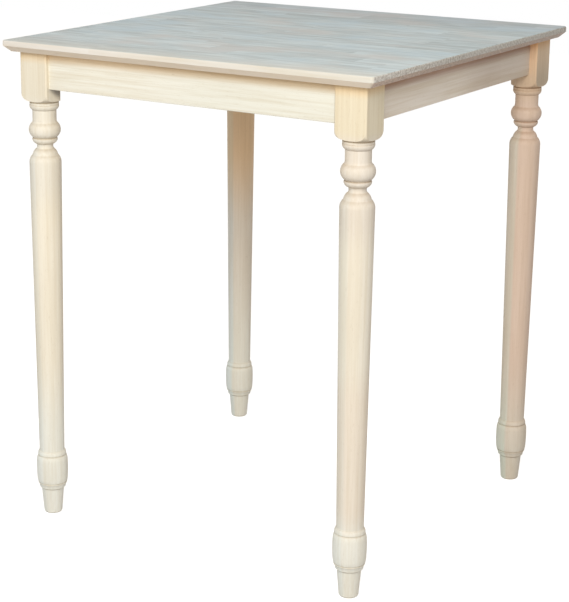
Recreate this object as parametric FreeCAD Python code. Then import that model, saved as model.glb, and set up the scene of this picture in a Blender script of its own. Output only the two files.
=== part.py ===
import FreeCAD, Part
import math
import os

from FreeCAD import Vector

os.makedirs("parts", exist_ok=True)

# All lengths are in millimetres. The origin is on the floor under the middle of the table,
# +Z is up, the front is towards -Y and the right-hand side is towards +X.

# Overall sizes
table_height = 914.4
top_side = 762.0
leg_square = 60.0
top_overhang = 23.0

# Top: staves glued edge to edge, with an eased upper arris and a bevelled underside rim
stave_count = 12
top_thickness = 20.6
rim_bevel_height = 10.3
rim_bevel_inset = 10.3
rim_easing = 3.5
top_corner_rounding = 6.5

# Aprons, set back from the outer faces of the legs
apron_height = 66.4
apron_thickness = 19.0
front_setback = 8.0
side_setback = 15.0
apron_easing = 1.5

# Leg block and its rounded shoulder
block_height = 91.4
block_easing = 3.0
block_corner_cut = 20.0
shoulder_radius = 14.0

# Foot, turned from the floor upwards, and the flared ring above it
foot_tip_diameter = 31.0
foot_low_diameter = 34.5
foot_top_diameter = 42.5
foot_chamfer = 2.5
foot_height = 49.5
foot_groove_width = 2.5
ring_low_diameter = 49.0
ring_top_diameter = 55.0
ring_height = 8.5
ring_groove_width = 3.0

# Bulb with a rounded crown, and the bead that ends the shaft
bulb_low_diameter = 56.0
bulb_shoulder_diameter = 58.0
bulb_diameter = 59.6
bulb_top_diameter = 59.0
bulb_crown_diameter = 54.5
bulb_taper_height = 5.0
bulb_barrel_height = 37.8
bulb_crown_height = 9.5
bead_groove_width = 3.0
bead_low_diameter = 54.0
bead_diameter = 53.2
bead_height = 8.5
bead_middle_share = 0.4

# Long tapered shaft with a rounded top
shaft_low_diameter = 47.5
shaft_top_diameter = 59.0
shaft_round_diameter = 48.0
shaft_round_height = 13.0
shaft_fall_height = 1.0

# Bell, waist and ring above the shaft
bell_diameter = 46.5
bell_lip_diameter = 34.5
bell_height = 10.4
waist_diameter = 29.5
waist_flare_height = 5.1
waist_height = 4.0
reel_low_diameter = 30.5
reel_diameter = 46.4
reel_height = 7.8
reel_band_height = 2.7

# Ball, neck and collar
ball_groove_width = 2.4
ball_low_diameter = 44.5
ball_diameter = 58.5
ball_top_diameter = 48.0
ball_height = 26.2
cove_height = 4.3
neck_diameter = 44.0
neck_height = 19.7
collar_diameter = 54.0
collar_round_height = 7.0
collar_band_height = 2.4
collar_quirk_width = 1.4
collar_fillet_diameter = 53.6
collar_fillet_height = 3.2
collar_groove_width = 3.0

# Depth of the grooves cut with the point of the tool, below the smaller form beside each
groove_depth = 1.5
quirk_depth = 0.5
collar_groove_depth = 2.0

# How full the rounds are: the share of the change in diameter made by the middle of their height
round_share = 0.24
hollow_share = 0.72
ring_share = 0.3
bell_share = 0.3
flare_share = 0.8
middle_share = 0.5

# Corner blocks across the inside corners of the apron frame
corner_block_thickness = 22.0
corner_block_height = 57.0
corner_block_gap = 6.0
corner_block_drop = 3.0

# Hanger bolts, two in each leg, with washer and nut
bolt_diameter = 8.0
bolt_lag_length = 40.0
bolt_point_length = 7.0
bolt_tail_length = 5.0
bolt_spacing = 30.0
bolt_hole_clearance = 0.5
thread_clearance = 0.15
washer_diameter = 20.0
washer_thickness = 1.6
nut_across_flats = 13.0
nut_height = 6.5

# Wood screws: block screws into the aprons and pocket screws into the top
screw_diameter = 4.0
screw_head_diameter = 8.0
screw_head_height = 2.6
screw_point_length = 5.0
block_screw_length = 28.0
block_screw_spacing = 34.0
block_screw_sink = 2.0
pocket_screw_length = 30.0
pocket_diameter = 9.5
pocket_angle = 15.0
pocket_screw_bite = 13.0
pocket_stave_shares = (1.5, 3.5)

# Length by which a cutting solid runs past the face that it cuts
overrun = 2.0

UP = Vector(0, 0, 1)
ORIGIN = Vector(0, 0, 0)
FULL_TURN = 360.0
RIGHT_ANGLE = 90.0

leg_length = table_height - top_thickness
leg_centre = top_side / 2 - top_overhang - leg_square / 2
leg_inner_face = leg_centre - leg_square / 2
leg_outer_face = leg_centre + leg_square / 2
front_apron_outer = leg_outer_face - front_setback
front_apron_inner = front_apron_outer - apron_thickness
side_apron_outer = leg_outer_face - side_setback
side_apron_inner = side_apron_outer - apron_thickness
block_bottom = leg_length - block_height
corner_block_top = leg_length - corner_block_drop
bolt_middle_height = corner_block_top - corner_block_height / 2


class Turning:
    """The outline of a turned piece, drawn from the floor upwards as radius and height."""

    def __init__(self, diameter):
        self.radius = diameter / 2
        self.height = 0.0
        self.edges = [Part.LineSegment(ORIGIN, self.here()).toShape()]

    def here(self):
        return Vector(self.radius, 0, self.height)

    def taper(self, diameter, length):
        start = self.here()
        self.radius = diameter / 2
        self.height += length
        self.edges.append(Part.LineSegment(start, self.here()).toShape())

    def curve(self, diameter, length, middle_diameter, middle_place_share=middle_share):
        """An arc that passes through a middle diameter at a share of its height."""
        start = self.here()
        middle = Vector(middle_diameter / 2, 0, self.height + middle_place_share * length)
        self.radius = diameter / 2
        self.height += length
        self.edges.append(Part.Arc(start, middle, self.here()).toShape())

    def swept(self, diameter, length, change_share):
        """An arc whose middle has made a share of the whole change in diameter."""
        start_diameter = 2 * self.radius
        self.curve(diameter, length, start_diameter + change_share * (diameter - start_diameter))

    def groove(self, diameter, width, depth=groove_depth):
        """A V groove, after which the next form starts at the given diameter."""
        floor_diameter = min(2 * self.radius, diameter) - 2 * depth
        self.taper(floor_diameter, width / 2)
        self.taper(diameter, width / 2)

    def solid(self):
        axis_point = Vector(0, 0, self.height)
        self.edges.append(Part.LineSegment(self.here(), axis_point).toShape())
        self.edges.append(Part.LineSegment(axis_point, ORIGIN).toShape())
        face = Part.Face(Part.Wire(self.edges))
        return face.revolve(ORIGIN, UP, FULL_TURN)


def turn_upper_forms(turning):
    """Rounded shaft top, bell, waist, ring, ball, neck and collar, from the shaft upwards."""
    turning.swept(shaft_round_diameter, shaft_round_height, round_share)
    turning.taper(bell_diameter, shaft_fall_height)
    turning.swept(bell_lip_diameter, bell_height, bell_share)
    turning.swept(waist_diameter, waist_flare_height, flare_share)
    turning.taper(reel_low_diameter, waist_height)
    turning.swept(reel_diameter, reel_height, hollow_share)
    turning.taper(reel_diameter, reel_band_height)
    turning.groove(ball_low_diameter, ball_groove_width)
    turning.curve(ball_top_diameter, ball_height, ball_diameter)
    turning.swept(neck_diameter, cove_height, hollow_share)
    turning.taper(neck_diameter, neck_height)
    turning.swept(collar_diameter, collar_round_height, hollow_share)
    turning.taper(collar_diameter, collar_band_height)
    turning.groove(collar_fillet_diameter, collar_quirk_width, quirk_depth)
    turning.taper(collar_fillet_diameter, collar_fillet_height)
    turning.groove(collar_diameter, collar_groove_width, collar_groove_depth)


def upper_forms_height():
    """The height that the forms between the shaft and the block take."""
    shaft_end = shaft_round_height + shaft_fall_height
    reel = bell_height + waist_flare_height + waist_height + reel_height + reel_band_height
    ball = ball_groove_width + ball_height + cove_height
    collar = (collar_round_height + collar_band_height + collar_quirk_width
              + collar_fillet_height + collar_groove_width)
    return shaft_end + reel + ball + neck_height + collar


def leg_turning():
    """The whole leg as it leaves the lathe, with the block still round."""
    turning = Turning(foot_tip_diameter)
    turning.taper(foot_low_diameter, foot_chamfer)
    turning.taper(foot_top_diameter, foot_height - foot_chamfer)
    turning.groove(ring_low_diameter, foot_groove_width)
    turning.swept(ring_top_diameter, ring_height, ring_share)
    turning.groove(bulb_low_diameter, ring_groove_width)
    turning.taper(bulb_shoulder_diameter, bulb_taper_height)
    turning.curve(bulb_top_diameter, bulb_barrel_height, bulb_diameter)
    turning.swept(bulb_crown_diameter, bulb_crown_height, round_share)
    turning.groove(bead_low_diameter, bead_groove_width)
    turning.curve(shaft_low_diameter, bead_height, bead_diameter, bead_middle_share)
    shaft_length = block_bottom - upper_forms_height() - turning.height
    turning.taper(shaft_top_diameter, shaft_length)
    turn_upper_forms(turning)
    shoulder_diameter = collar_diameter + 2 * shoulder_radius
    quarter_share = math.sin(math.radians(RIGHT_ANGLE / 2))
    turning.curve(shoulder_diameter, shoulder_radius,
                  collar_diameter + 2 * shoulder_radius * quarter_share, 1 - quarter_share)
    turning.taper(shoulder_diameter, block_height - shoulder_radius)
    return turning.solid()


def block_outline():
    """The square stock of the block with eased arrises and its inner corner cut off."""
    half = leg_square / 2
    cut = block_corner_cut
    points = [Vector(cut - half, -half, 0), Vector(half, -half, 0), Vector(half, half, 0),
              Vector(-half, half, 0), Vector(-half, cut - half, 0)]
    prism = Part.Face(Part.makePolygon(points + points[:1])).extrude(UP * (block_height + overrun))
    arrises = [edge for edge in prism.Edges if is_square_arris(edge, half)]
    return prism.makeFillet(block_easing, arrises)


def is_square_arris(edge, half):
    """Whether an upright edge stands on one of the three whole corners of the square."""
    low, high = edge.BoundBox.ZMin, edge.BoundBox.ZMax
    middle = edge.BoundBox.Center
    on_corner = min(abs(middle.x), abs(middle.y)) > half - block_easing
    return high - low > block_height and on_corner


def make_leg():
    """One leg on its own axis, its cut corner towards -X and -Y."""
    prism = block_outline()
    prism.translate(UP * block_bottom)
    turned_stock = Part.makeCylinder(leg_square, block_bottom)
    leg = leg_turning().common(prism.fuse(turned_stock))
    for height in bolt_heights():
        hole = Part.makeCylinder(bolt_diameter / 2 + thread_clearance,
                                 bolt_lag_length + overrun, ORIGIN, Vector(1, 1, 0))
        hole.translate(leg_cut_middle() - Vector(1, 1, 0).normalize() * overrun + UP * height)
        leg = leg.cut(hole)
    return leg


def leg_cut_middle():
    """The middle of the cut-off corner face, measured from the axis of the leg."""
    reach = (leg_square - block_corner_cut) / 2
    return Vector(-reach, -reach, 0)


def bolt_heights():
    return [bolt_middle_height - bolt_spacing / 2, bolt_middle_height + bolt_spacing / 2]


def box_between(low, high):
    size = high - low
    return Part.makeBox(size.x, size.y, size.z, low)


def square_wire(side, height):
    half = side / 2
    corners = [Vector(-half, -half, height), Vector(half, -half, height),
               Vector(half, half, height), Vector(-half, half, height)]
    return Part.makePolygon(corners + corners[:1])


def make_top_panel():
    """The glued-up top, machined round its rim in one piece."""
    bevel_top = table_height - top_thickness + rim_bevel_height
    low_side = top_side - 2 * rim_bevel_inset
    bevel = Part.makeLoft([square_wire(low_side, leg_length), square_wire(top_side, bevel_top)],
                          True, True)
    slab = Part.Face(square_wire(top_side, bevel_top)).extrude(UP * (table_height - bevel_top))
    panel = slab.fuse(bevel).removeSplitter()
    corners = [edge for edge in panel.Edges if is_rim_corner(edge)]
    panel = panel.makeFillet(top_corner_rounding, corners)
    arris = [edge for edge in panel.Edges if edge.BoundBox.ZMin > table_height - rim_easing / 2]
    return panel.makeFillet(rim_easing, arris)


def is_rim_corner(edge):
    """Whether an edge runs up a corner of the panel, on the bevel or above it."""
    middle = edge.BoundBox.Center
    near_corner = top_side / 2 - rim_bevel_inset - rim_easing
    rises = edge.BoundBox.ZLength > rim_easing
    return rises and abs(middle.x) > near_corner and abs(middle.y) > near_corner


def make_staves(panel):
    """The panel divided into its staves, front to back."""
    width = top_side / stave_count
    staves = []
    for number in range(stave_count):
        front = number * width - top_side / 2
        strip = box_between(Vector(-top_side, front, 0),
                            Vector(top_side, front + width, table_height + overrun))
        staves.append(panel.common(strip))
    return staves


def turned_screw(length):
    """A countersunk screw, head up, with the middle of its head at the origin."""
    profile = [ORIGIN, Vector(screw_head_diameter / 2, 0, 0),
               Vector(screw_diameter / 2, 0, -screw_head_height),
               Vector(screw_diameter / 2, 0, screw_point_length - length), Vector(0, 0, -length)]
    face = Part.Face(Part.makePolygon(profile + profile[:1]))
    return face.revolve(ORIGIN, UP, FULL_TURN)


def screw_hole(length):
    """The clear hole for a screw, with its countersink and room above its head."""
    radius = screw_diameter / 2 + thread_clearance
    head_radius = screw_head_diameter / 2 + thread_clearance
    shank = Part.makeCylinder(radius, length + thread_clearance, ORIGIN, -UP)
    head = Part.makeCone(head_radius, radius, screw_head_height, ORIGIN, -UP)
    access = Part.makeCylinder(head_radius, length, ORIGIN, UP)
    return shank.fuse(head).fuse(access)


def aimed(shape, direction, place):
    """A shape drawn along +Z, turned to point along a direction and moved to its place."""
    rotation = FreeCAD.Rotation(UP, direction)
    moved = shape.copy()
    moved.Placement = FreeCAD.Placement(place, rotation)
    return moved


def pocket_direction():
    """The way out of a pocket hole in the front apron, down and in towards the table's middle."""
    angle = math.radians(pocket_angle)
    return Vector(0, math.sin(angle), -math.cos(angle))


def pocket_head_place(along):
    """The seat of a pocket screw's head in the front apron."""
    crossing = Vector(along, -front_apron_inner - apron_thickness / 2, leg_length)
    below_top = pocket_screw_length - pocket_screw_bite
    return crossing + pocket_direction() * below_top


def pocket_places():
    """Where the pocket screws stand along an apron, in whole and half staves from its middle."""
    offsets = [share * top_side / stave_count for share in pocket_stave_shares]
    return [-offsets[1], -offsets[0], offsets[0], offsets[1]]


def pocket_tool():
    """The stepped hole for a pocket screw: a wide pocket behind its head, a clear hole ahead."""
    pocket = Part.makeCylinder(pocket_diameter / 2, apron_height)
    shank = Part.makeCylinder(screw_diameter / 2 + thread_clearance,
                              pocket_screw_length + thread_clearance, ORIGIN, -UP)
    return pocket.fuse(shank)


def pocket_screw():
    """A flat-bottomed pan-head screw, head up, seated at the origin."""
    head = Part.makeCylinder(screw_head_diameter / 2, screw_head_height)
    shank_length = pocket_screw_length - screw_point_length
    shank = Part.makeCylinder(screw_diameter / 2, shank_length, ORIGIN, -UP)
    point = Part.makeCone(screw_diameter / 2, 0, screw_point_length,
                          Vector(0, 0, -shank_length), -UP)
    return head.fuse(shank).fuse(point).removeSplitter()


def placed_on_front(shape):
    """Copies of a pocket tool or screw at each place along the front apron."""
    return [aimed(shape, pocket_direction(), pocket_head_place(along))
            for along in pocket_places()]


def moved_to_side(shape):
    """A pocket tool or screw of the front apron, carried round to the right-hand apron."""
    carried = shape.copy()
    carried.translate(Vector(0, front_apron_inner - side_apron_inner, 0))
    carried.rotate(ORIGIN, UP, RIGHT_ANGLE)
    return carried


def all_round(front_shapes):
    """The front apron's pocket tools or screws repeated for all four aprons."""
    shapes = {"front": front_shapes}
    shapes["right"] = [moved_to_side(shape) for shape in front_shapes]
    shapes["back"] = [shape.mirror(ORIGIN, Vector(0, 1, 0)) for shape in front_shapes]
    shapes["left"] = [shape.mirror(ORIGIN, Vector(1, 0, 0)) for shape in shapes["right"]]
    return shapes


def apron_board(low, high):
    """An apron with its two long lower arrises eased."""
    board = box_between(low, high)
    lower = [edge for edge in board.Edges
             if edge.BoundBox.ZMax < low.z + apron_easing and edge.Length > apron_height]
    return board.makeFillet(apron_easing, lower)


def make_aprons(pocket_tools):
    """The four aprons, butted between the legs and flush with their tops."""
    low_height = leg_length - apron_height
    reach = leg_inner_face
    limits = {
        "front": (Vector(-reach, -front_apron_outer, low_height),
                  Vector(reach, -front_apron_inner, leg_length)),
        "back": (Vector(-reach, front_apron_inner, low_height),
                 Vector(reach, front_apron_outer, leg_length)),
        "left": (Vector(-side_apron_outer, -reach, low_height),
                 Vector(-side_apron_inner, reach, leg_length)),
        "right": (Vector(side_apron_inner, -reach, low_height),
                  Vector(side_apron_outer, reach, leg_length)),
    }
    aprons = {}
    for side, (low, high) in limits.items():
        board = apron_board(low, high)
        for tool in pocket_tools[side]:
            board = board.cut(tool)
        aprons[side] = board
    return aprons


# The corner joint is worked out at the back right-hand corner, where the leg stands at +X and +Y,
# and mirrored to the other three corners. The diagonal runs from the leg towards the middle.

diagonal = Vector(-1, -1, 0).normalize()
cut_middle = Vector(leg_centre, leg_centre, 0) + leg_cut_middle()
block_face = cut_middle + diagonal * corner_block_gap
block_back = block_face + diagonal * corner_block_thickness


def point_on_apron(plane_point, side):
    """Where an upright plane square to the diagonal meets the inner face of an apron."""
    total = plane_point.x + plane_point.y
    if side == "right":
        return Vector(side_apron_inner, total - side_apron_inner, 0)
    return Vector(total - front_apron_inner, front_apron_inner, 0)


def corner_block_blank():
    """The corner block, mitred at both ends to lie flat on the two aprons."""
    outline = [point_on_apron(block_face, "right"), point_on_apron(block_back, "right"),
               point_on_apron(block_back, "back"), point_on_apron(block_face, "back")]
    blank = Part.Face(Part.makePolygon(outline + outline[:1])).extrude(UP * corner_block_height)
    blank.translate(UP * (corner_block_top - corner_block_height))
    return blank


def block_screw_places():
    """Head places and outward directions of the four screws through one corner block."""
    places = []
    for side, outward in (("right", Vector(1, 0, 0)), ("back", Vector(0, 1, 0))):
        middle = (point_on_apron(block_face, side) + point_on_apron(block_back, side)) / 2
        depth = (point_on_apron(block_back, side) - middle).Length
        for offset in (-block_screw_spacing / 2, block_screw_spacing / 2):
            head = middle - outward * (depth - block_screw_sink) + UP * (bolt_middle_height + offset)
            places.append((head, -outward))
    return places


def corner_block(screw_tool):
    """One corner block with its bolt holes and screw holes."""
    block = corner_block_blank()
    for height in bolt_heights():
        radius = bolt_diameter / 2 + bolt_hole_clearance
        length = corner_block_thickness + 2 * overrun
        start = block_face - diagonal * overrun + UP * height
        block = block.cut(Part.makeCylinder(radius, length, start, diagonal))
    for head, direction in block_screw_places():
        block = block.cut(aimed(screw_tool, direction, head))
    return block


def hanger_bolt():
    """A hanger bolt drawn along +Z, its lag point down and the face of the leg at the origin."""
    radius = bolt_diameter / 2
    tail = (corner_block_gap + corner_block_thickness + washer_thickness + nut_height
            + bolt_tail_length)
    point_start = bolt_point_length - bolt_lag_length
    shank = Part.makeCylinder(radius, tail - point_start, Vector(0, 0, point_start))
    point = Part.makeCone(radius, 0, bolt_point_length, Vector(0, 0, point_start), -UP)
    return shank.fuse(point).removeSplitter()


def flat_washer():
    ring = Part.makeCylinder(washer_diameter / 2, washer_thickness)
    bore = Part.makeCylinder(bolt_diameter / 2 + bolt_hole_clearance, washer_thickness)
    return ring.cut(bore)


def hexagon_nut():
    corner_radius = nut_across_flats / (2 * math.cos(math.radians(RIGHT_ANGLE / 3)))
    corners = []
    for number in range(6):
        angle = math.radians(number * FULL_TURN / 6)
        corners.append(Vector(corner_radius * math.cos(angle), corner_radius * math.sin(angle), 0))
    prism = Part.Face(Part.makePolygon(corners + corners[:1])).extrude(UP * nut_height)
    bore = Part.makeCylinder(bolt_diameter / 2 + thread_clearance, nut_height)
    return prism.cut(bore)


def at_corner(shape, x_side, y_side):
    """A shape of the back right-hand corner, mirrored to another corner."""
    placed = shape
    if x_side < 0:
        placed = placed.mirror(ORIGIN, Vector(1, 0, 0))
    if y_side < 0:
        placed = placed.mirror(ORIGIN, Vector(0, 1, 0))
    return placed


corners = {"front_left": (-1, -1), "front_right": (1, -1),
           "back_left": (-1, 1), "back_right": (1, 1)}


def save(name, *shapes):
    shape = shapes[0] if len(shapes) == 1 else Part.makeCompound(list(shapes))
    shape.exportStep("parts/" + name + ".step")


def build_top(pocket_tools):
    """Staves, drilled from below for the pocket screws."""
    panel = make_top_panel()
    for tools in pocket_tools.values():
        for tool in tools:
            panel = panel.cut(tool)
    for number, stave in enumerate(make_staves(panel)):
        save("top_stave_%02d" % (number + 1), stave)


def build_legs():
    leg = make_leg()
    leg.translate(Vector(leg_centre, leg_centre, 0))
    for name, (x_side, y_side) in corners.items():
        save("leg_" + name, at_corner(leg, x_side, y_side))


def build_frame(pocket_tools, screw_tool):
    """Aprons drilled for their screws, and the corner blocks."""
    aprons = make_aprons(pocket_tools)
    for x_side, y_side in corners.values():
        for head, direction in block_screw_places():
            tool = at_corner(aimed(screw_tool, direction, head), x_side, y_side)
            along_x = abs(direction.x) > abs(direction.y)
            if along_x:
                side = "right" if x_side > 0 else "left"
            else:
                side = "back" if y_side > 0 else "front"
            aprons[side] = aprons[side].cut(tool)
    for side, apron in aprons.items():
        save("apron_" + side, apron)
    block = corner_block(screw_tool)
    for name, (x_side, y_side) in corners.items():
        save("corner_block_" + name, at_corner(block, x_side, y_side))


def build_fasteners():
    """Every group of like fasteners, one node for each kind."""
    bolts, washers, nuts, screws = [], [], [], []
    washer_place = block_back
    nut_place = block_back + diagonal * washer_thickness
    for x_side, y_side in corners.values():
        for height in bolt_heights():
            lift = UP * height
            bolt = aimed(hanger_bolt(), diagonal, cut_middle + lift)
            washer = aimed(flat_washer(), diagonal, washer_place + lift)
            nut = aimed(hexagon_nut(), diagonal, nut_place + lift)
            bolts.append(at_corner(bolt, x_side, y_side))
            washers.append(at_corner(washer, x_side, y_side))
            nuts.append(at_corner(nut, x_side, y_side))
        for head, direction in block_screw_places():
            screw = aimed(turned_screw(block_screw_length), direction, head)
            screws.append(at_corner(screw, x_side, y_side))
    save("hanger_bolts", *bolts)
    save("hanger_washers", *washers)
    save("hanger_nuts", *nuts)
    save("corner_block_screws", *screws)
    pocket_screws = all_round(placed_on_front(pocket_screw()))
    save("top_screws", *[screw for group in pocket_screws.values() for screw in group])


pocket_tools = all_round(placed_on_front(pocket_tool()))
build_top(pocket_tools)
build_legs()
build_frame(pocket_tools, screw_hole(block_screw_length))
build_fasteners()
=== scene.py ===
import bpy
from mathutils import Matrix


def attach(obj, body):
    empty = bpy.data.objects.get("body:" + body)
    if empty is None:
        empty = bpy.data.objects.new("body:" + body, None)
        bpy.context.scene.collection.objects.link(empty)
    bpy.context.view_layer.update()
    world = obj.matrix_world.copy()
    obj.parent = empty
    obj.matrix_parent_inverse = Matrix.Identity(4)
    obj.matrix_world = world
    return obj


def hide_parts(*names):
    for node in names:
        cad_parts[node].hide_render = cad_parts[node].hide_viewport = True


bl_info = {
    "name": "Counter Height Table",
    "version": (1, 0, 0),
    "blender": (4, 5, 0),
    "location": "3D View > Sidebar > Table",
    "description": "Builds a square counter height table with turned legs around its CAD frame",
    "category": "Object",
}

import math
from functools import partial

import bmesh
import bpy
from mathutils import Matrix, Vector

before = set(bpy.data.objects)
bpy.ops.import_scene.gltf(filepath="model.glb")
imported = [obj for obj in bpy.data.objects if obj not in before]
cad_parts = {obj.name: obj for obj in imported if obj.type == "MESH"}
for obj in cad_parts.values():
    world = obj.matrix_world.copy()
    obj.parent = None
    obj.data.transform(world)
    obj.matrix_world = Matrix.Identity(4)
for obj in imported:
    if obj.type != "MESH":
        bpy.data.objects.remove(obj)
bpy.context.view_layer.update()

MM = 0.001
TAU = 2 * math.pi
CORNERS = {"front_left": (-1, -1), "front_right": (1, -1),
           "back_left": (-1, 1), "back_right": (1, 1)}


# Sizes and colours that a user may change


def number(name, description, default, **more):
    return bpy.props.FloatProperty(name=name, description=description, default=default, **more)


def length(name, description, millimetres):
    """A length property, whose default is given in millimetres."""
    return number(name, description, millimetres * MM, min=0.0, unit="LENGTH")


def turned_by(name, description, degrees):
    """An angle property, whose default is given in degrees."""
    return number(name, description, math.radians(degrees), subtype="ANGLE", unit="ROTATION")


def linear(hex_colour):
    """An sRGB hex colour as linear RGBA."""
    channels = []
    for start in (0, 2, 4):
        value = int(hex_colour[start:start + 2], 16) / 255
        channels.append(value / 12.92 if value <= 0.04045 else ((value + 0.055) / 1.055) ** 2.4)
    return (*channels, 1.0)


def colour(name, description, hex_colour):
    """A colour property, whose default is given as sRGB hex."""
    return bpy.props.FloatVectorProperty(name=name, description=description, subtype="COLOR",
                                         size=4, default=linear(hex_colour), min=0.0, max=1.0)


class TableTopSizes(bpy.types.PropertyGroup):
    """Sizes of the glued-up top."""
    height: length("Height", "Height of the table's upper face above the floor", 914.4)
    side: length("Side", "Length of each side of the square top", 762.0)
    thickness: length("Thickness", "Thickness of the top", 20.6)
    bevel_height: length("Bevel height", "Height of the bevel under the rim", 10.3)
    bevel_inset: length("Bevel inset", "How far the bevel goes in under the rim", 10.3)
    easing: length("Arris easing", "Radius of the eased upper arris", 3.5)
    corner: length("Corner rounding", "Radius of the four upright corners", 6.5)
    joint_easing: length("Joint easing", "Fine bevel where two staves meet", 0.3)
    stave_count: bpy.props.IntProperty(name="Staves", description="Staves in the top",
                                       default=12, min=2)


class LegSizes(bpy.types.PropertyGroup):
    """Sizes of the turned legs."""
    square: length("Square", "Side of the square block at the top of a leg", 60.0)
    centre: length("Centre", "Distance of a leg's axis from the table's middle planes", 328.0)
    block_height: length("Block height", "Height of the square block", 91.4)
    block_easing: length("Block easing", "Radius of the block's upright arrises", 3.0)
    corner_cut: length("Corner cut", "Width cut off the inner corner of the block", 20.0)
    shoulder: length("Shoulder", "Radius of the rounded underside of the block", 14.0)


class FastenerSizes(bpy.types.PropertyGroup):
    """Sizes and places of the bolts, nuts, washers and screws."""
    apron_side: length("Side apron", "Distance of its inner face from the middle", 324.0)
    apron_front: length("Front apron", "Distance of its inner face from the middle", 331.0)
    apron_thickness: length("Apron thickness", "Thickness of the aprons", 19.0)
    block_gap: length("Block gap", "Gap between a leg's cut corner and its corner block", 6.0)
    block_thickness: length("Block thickness", "Thickness of a corner block", 22.0)
    block_middle: length("Block middle", "Height of the middle of the corner blocks", 862.3)
    bolt_spacing: length("Bolt spacing", "Upright distance between two hanger bolts", 30.0)
    bolt: length("Bolt", "Diameter of the hanger bolts", 8.0)
    bolt_lag: length("Bolt lag", "Length of a hanger bolt inside its leg", 40.0)
    bolt_tail: length("Bolt tail", "Length of bolt that stands out of its nut", 5.0)
    bolt_pitch: length("Bolt pitch", "Pitch of the machine thread", 1.25)
    lag_pitch: length("Lag pitch", "Pitch of the wood thread", 3.2)
    washer: length("Washer", "Diameter of the washers", 20.0)
    washer_thickness: length("Washer thickness", "Thickness of the washers", 1.6)
    nut: length("Nut", "Width of a nut across its flats", 13.0)
    nut_height: length("Nut height", "Height of a nut", 6.5)
    screw: length("Screw", "Diameter of the wood screws", 4.0)
    screw_head: length("Screw head", "Diameter of a screw's head", 8.0)
    screw_head_height: length("Screw head height", "Height of a screw's head", 2.6)
    screw_point: length("Screw point", "Length of a screw's point", 5.0)
    screw_pitch: length("Screw pitch", "Pitch of the screws' threads", 1.8)
    block_screw: length("Block screw", "Length of a corner block screw", 28.0)
    block_screw_spacing: length("Block screw spacing", "Upright distance between them", 34.0)
    block_screw_sink: length("Block screw sink", "Depth of their heads in the block", 2.0)
    pocket_screw: length("Pocket screw", "Length of a pocket screw", 30.0)
    pocket_bite: length("Pocket screw bite", "Length of a pocket screw in the top", 13.0)
    pocket_angle: turned_by("Pocket angle", "Lean of the pocket screws", 15.0)


# Woods of the parts of the legs, whose blanks differ. Some are painted light and shade: the foot
# is paler and more neutral, painted light thrown up by the white floor, and the ball and neck of
# the front legs are a little darker, painted shade that tempers the lamp's highlight there. The
# high wood is painted warm shade on the browner upper shaft of the back left leg, and painted
# light on the lighter upper block of the back right one
LEG_WOODS = {
    "leg": ("Wood of the shaft", {"front_left": "F8F0DE", "front_right": "F1EADB",
                                  "back_left": "F1E7D8", "back_right": "E2CAB7"}),
    "block": ("Wood of the square block", {"front_left": "F1E9D6", "front_right": "E9DEC5",
                                           "back_left": "EDDFC8", "back_right": "DDC3A7"}),
    "foot": ("Wood of the foot", {"front_left": "F9F8EE", "front_right": "F3F1E7",
                                  "back_left": "F7F5EA", "back_right": "E0D6C6"}),
    "turned": ("Wood of the ball and neck", {"front_left": "F2ECDE", "front_right": "E7DED1"}),
    "low": ("Warmer wood low on the shaft", {"front_right": "EEE3D3"}),
    "high": ("Wood high on the leg", {"back_left": "FAD9B0", "back_right": "FFDCB9"}),
}


def with_leg_woods(group):
    """Adds a colour property for each part of a leg at each corner."""
    for part, (words, woods) in LEG_WOODS.items():
        for corner, hex_colour in woods.items():
            title = "%s, %s" % (part.capitalize(), corner.replace("_", " "))
            group.__annotations__[part + "_" + corner] = colour(title, words, hex_colour)
    return group


@with_leg_woods
class Finishes(bpy.types.PropertyGroup):
    """Colours of the woods and the metal; those of the legs come from their table."""
    # The top's colours all carry a painted cool grey-blue cast, a painted reflection of cool
    # light on the pale wood, over its streaks and patches
    top_light: colour("Top light", "Palest streaks of the top", "DCE8EB")
    top_dark: colour("Top dark", "Darkest streaks of the top", "A9B5B6")
    top_blue: colour("Top blue", "Bluish patches of the top", "C2D6E0")
    top_cream: colour("Top cream", "Creamy stave along the front", "D8D2C4")
    top_brown: colour("Top brown", "Brownish patches of the top", "CFCDC9")
    rim_light: colour("Rim light", "Pale wood of the rim along the grain", "EDE8E1")
    # The bevel faces down: its warmer colour is painted shade under the rim
    bevel: colour("Bevel", "Warmer wood of the bevel below the rim", "EEE0CE")
    end_light: colour("End grain, light", "Pale parts of the sawn ends", "E1DDD5")
    end_dark: colour("End grain, dark", "Dark parts of the sawn ends", "AEA499")
    # Painted warm shade close under the top: on the aprons, high on the leg blocks, and under the
    # sawn ends
    shade: colour("Shade", "Warm shade close under the top", "FFE7CB")
    leg_shade: colour("Leg shade", "Glow high on the leg blocks", "FFEFDA")
    side_shade: colour("Side shade", "Brown shade under the sawn ends of the top", "C4A699")
    apron_front: colour("Front apron", "Wood of the front and back aprons", "FAFAF0")
    apron_side: colour("Side apron", "Wood of the side aprons", "F8F0E4")
    corner_block: colour("Corner block", "Wood of the corner blocks", "E3D0AE")
    zinc: colour("Zinc", "Zinc plating on bolts, nuts and screws", "C6CACD")


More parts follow.
